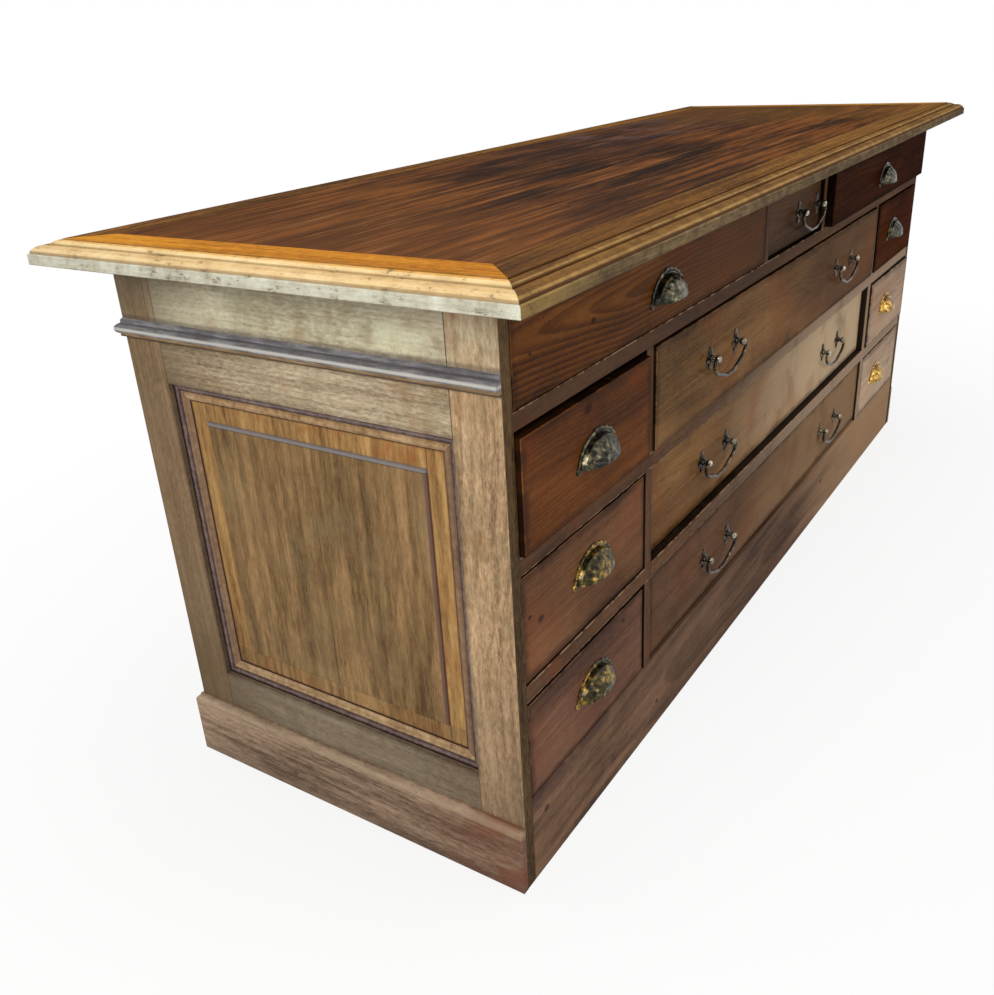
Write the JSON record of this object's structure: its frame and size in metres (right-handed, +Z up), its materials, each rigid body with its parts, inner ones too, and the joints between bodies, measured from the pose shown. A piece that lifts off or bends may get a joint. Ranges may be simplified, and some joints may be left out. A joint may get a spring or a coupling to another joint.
{
  "type": "shop counter with drawers",
  "caption": "Long panelled shop counter with a moulded, mitred top and worn softwood drawers on one side, opened by brass cup pulls and swinging bail handles.",
  "frame": {"origin": "on the floor, under the middle of the top", "axes": "+X along the counter to the right-hand end, -Y towards the drawers and the person who uses them, +Z up"},
  "size_m": [2.3, 0.82, 0.918],
  "materials": {
    "top_boards": "gloss varnish over dark stain, worn",
    "top_border": "gloss varnish, amber",
    "aged_pine": "worn, faded varnish",
    "varnished_front": "satin varnish, worn",
    "skirting": "satin varnish, scuffed",
    "plain_boards": "bare, dusty",
    "brass": "aged, dull",
    "bronze": "dark patina"
  },
  "bodies": {
    "carcass": {"top_field": "top_boards", "top_border": "top_border", "left_end_frame": "aged_pine", "left_end_panel": "aged_pine", "left_panel_moulding": "aged_pine", "right_end_frame": "aged_pine", "right_end_panel": "aged_pine", "right_panel_moulding": "aged_pine", "frieze_bead": "aged_pine", "skirting": "skirting", "plinth_face": "varnished_front", "face_frame": "varnished_front", "partitions": "plain_boards", "dust_boards": "plain_boards", "back_frame": "aged_pine", "back_panels": "aged_pine", "back_panel_mouldings": "aged_pine"},
    "drawer_top_left": {"front_top_left": "varnished_front", "box_top_left": "plain_boards", "cup_pull_top_left": "brass"},
    "drawer_top_middle": {"front_top_middle": "varnished_front", "box_top_middle": "plain_boards", "bail_posts_top_middle": "bronze"},
    "bail_top_middle": {"bail_top_middle": "bronze"},
    "drawer_top_right": {"front_top_right": "varnished_front", "box_top_right": "plain_boards", "cup_pull_top_right": "brass"},
    "drawer_left_1": {"front_left_1": "varnished_front", "box_left_1": "plain_boards", "cup_pull_left_1": "brass"},
    "drawer_centre_1": {"front_centre_1": "varnished_front", "box_centre_1": "plain_boards", "bail_posts_centre_1": "bronze"},
    "bail_centre_1_a": {"bail_centre_1_a": "bronze"},
    "bail_centre_1_b": {"bail_centre_1_b": "bronze"},
    "drawer_right_1": {"front_right_1": "varnished_front", "box_right_1": "plain_boards", "cup_pull_right_1": "brass"},
    "drawer_left_2": {"front_left_2": "varnished_front", "box_left_2": "plain_boards", "cup_pull_left_2": "brass"},
    "drawer_centre_2": {"front_centre_2": "varnished_front", "box_centre_2": "plain_boards", "bail_posts_centre_2": "bronze"},
    "bail_centre_2_a": {"bail_centre_2_a": "bronze"},
    "bail_centre_2_b": {"bail_centre_2_b": "bronze"},
    "drawer_right_2": {"front_right_2": "varnished_front", "box_right_2": "plain_boards", "cup_pull_right_2": "brass"},
    "drawer_left_3": {"front_left_3": "varnished_front", "box_left_3": "plain_boards", "cup_pull_left_3": "brass"},
    "drawer_centre_3": {"front_centre_3": "varnished_front", "box_centre_3": "plain_boards", "bail_posts_centre_3": "bronze"},
    "bail_centre_3_a": {"bail_centre_3_a": "bronze"},
    "bail_centre_3_b": {"bail_centre_3_b": "bronze"},
    "drawer_right_3": {"front_right_3": "varnished_front", "box_right_3": "plain_boards", "cup_pull_right_3": "brass"}
  },
  "joints": [
    {"name": "drawer_top_left_slide", "type": "slide", "parent": "carcass", "child": "drawer_top_left", "axis": [0, -1, 0], "range_m": [0, 0.42]},
    {"name": "drawer_top_middle_slide", "type": "slide", "parent": "carcass", "child": "drawer_top_middle", "axis": [0, -1, 0], "range_m": [0, 0.42]},
    {"name": "bail_top_middle_hinge", "type": "hinge", "parent": "drawer_top_middle", "child": "bail_top_middle", "pos_m": [0.09001, -0.333, 0.798], "axis": [-1, 0, 0], "range_deg": [0, 95]},
    {"name": "drawer_top_right_slide", "type": "slide", "parent": "carcass", "child": "drawer_top_right", "axis": [0, -1, 0], "range_m": [0, 0.42]},
    {"name": "drawer_left_1_slide", "type": "slide", "parent": "carcass", "child": "drawer_left_1", "axis": [0, -1, 0], "range_m": [0, 0.42]},
    {"name": "drawer_centre_1_slide", "type": "slide", "parent": "carcass", "child": "drawer_centre_1", "axis": [0, -1, 0], "range_m": [0, 0.42]},
    {"name": "bail_centre_1_a_hinge", "type": "hinge", "parent": "drawer_centre_1", "child": "bail_centre_1_a", "pos_m": [-0.37995, -0.3445, 0.635], "axis": [-1, 0, 0], "range_deg": [0, 95]},
    {"name": "bail_centre_1_b_hinge", "type": "hinge", "parent": "drawer_centre_1", "child": "bail_centre_1_b", "pos_m": [0.35706, -0.3445, 0.635], "axis": [-1, 0, 0], "range_deg": [0, 95]},
    {"name": "drawer_right_1_slide", "type": "slide", "parent": "carcass", "child": "drawer_right_1", "axis": [0, -1, 0], "range_m": [0, 0.42]},
    {"name": "drawer_left_2_slide", "type": "slide", "parent": "carcass", "child": "drawer_left_2", "axis": [0, -1, 0], "range_m": [0, 0.42]},
    {"name": "drawer_centre_2_slide", "type": "slide", "parent": "carcass", "child": "drawer_centre_2", "axis": [0, -1, 0], "range_m": [0, 0.42]},
    {"name": "bail_centre_2_a_hinge", "type": "hinge", "parent": "drawer_centre_2", "child": "bail_centre_2_a", "pos_m": [-0.35396, -0.326, 0.4325], "axis": [-1, 0, 0], "range_deg": [0, 95]},
    {"name": "bail_centre_2_b_hinge", "type": "hinge", "parent": "drawer_centre_2", "child": "bail_centre_2_b", "pos_m": [0.374, -0.326, 0.4325], "axis": [-1, 0, 0], "range_deg": [0, 95]},
    {"name": "drawer_right_2_slide", "type": "slide", "parent": "carcass", "child": "drawer_right_2", "axis": [0, -1, 0], "range_m": [0, 0.42]},
    {"name": "drawer_left_3_slide", "type": "slide", "parent": "carcass", "child": "drawer_left_3", "axis": [0, -1, 0], "range_m": [0, 0.42]},
    {"name": "drawer_centre_3_slide", "type": "slide", "parent": "carcass", "child": "drawer_centre_3", "axis": [0, -1, 0], "range_m": [0, 0.42]},
    {"name": "bail_centre_3_a_hinge", "type": "hinge", "parent": "drawer_centre_3", "child": "bail_centre_3_a", "pos_m": [-0.35202, -0.3355, 0.236], "axis": [-1, 0, 0], "range_deg": [0, 95]},
    {"name": "bail_centre_3_b_hinge", "type": "hinge", "parent": "drawer_centre_3", "child": "bail_centre_3_b", "pos_m": [0.37503, -0.3355, 0.236], "axis": [-1, 0, 0], "range_deg": [0, 95]},
    {"name": "drawer_right_3_slide", "type": "slide", "parent": "carcass", "child": "drawer_right_3", "axis": [0, -1, 0], "range_m": [0, 0.42]}
  ]
}
